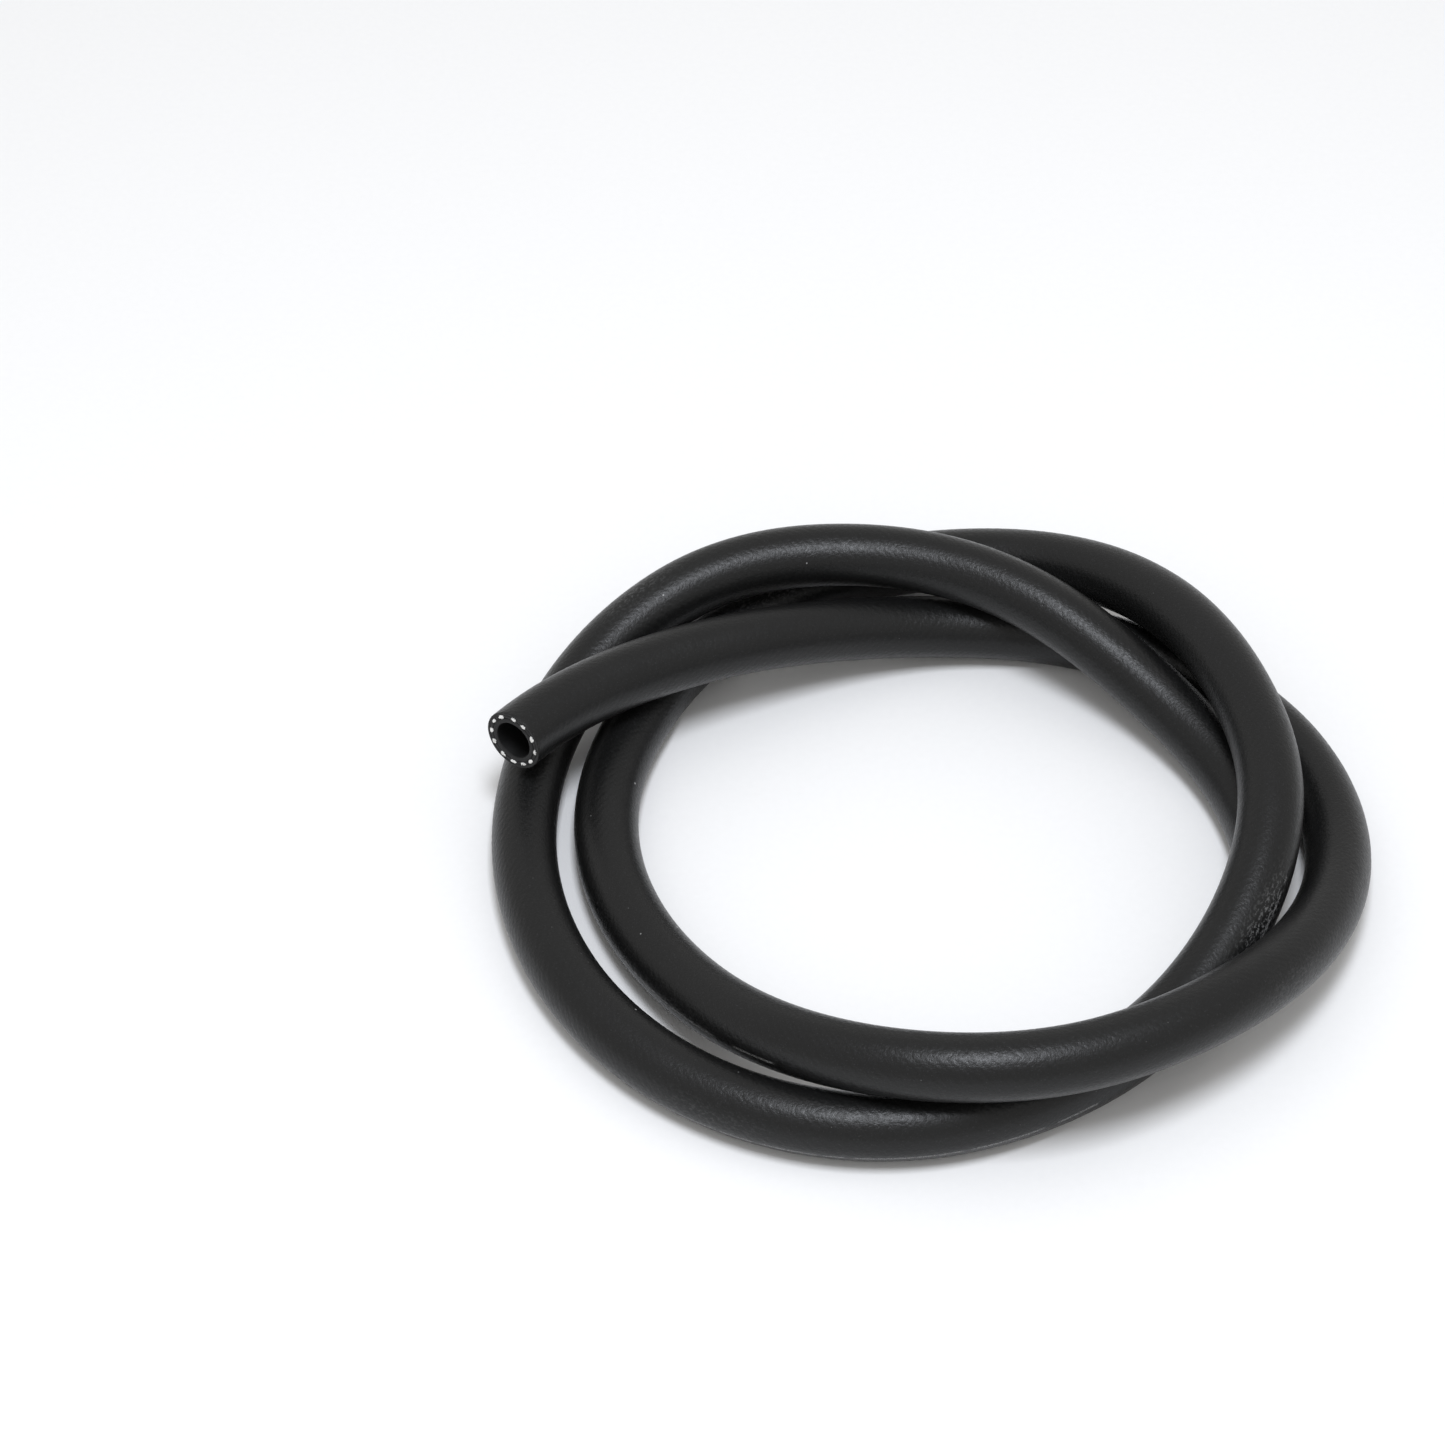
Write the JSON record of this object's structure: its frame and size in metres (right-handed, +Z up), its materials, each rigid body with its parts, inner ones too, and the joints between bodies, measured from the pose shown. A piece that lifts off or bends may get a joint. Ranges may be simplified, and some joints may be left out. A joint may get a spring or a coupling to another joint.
{
  "type": "power steering hose",
  "caption": "Length of black rubber power steering hose with a textile braid in its wall, cut square at its ends and lying in a loose flat coil whose strands cross.",
  "frame": {"origin": "centre of the coil's bounding box on the floor it lies on", "axes": "+Z up out of the flat coil; +X towards the side away from the raised cut end, across the coil's widest extent; +Y towards the side where the strands cross three deep"},
  "size_m": [0.2162, 0.2044, 0.0363],
  "materials": {
    "cover_rubber": "satin, extruded, with a faint braid impression",
    "braid_yarn": "matt, braided",
    "tube_rubber": "matt, smooth"
  },
  "bodies": {
    "root": {"rubber_cover": "cover_rubber", "textile_braid": "braid_yarn", "inner_tube": "tube_rubber"}
  },
  "joints": []
}
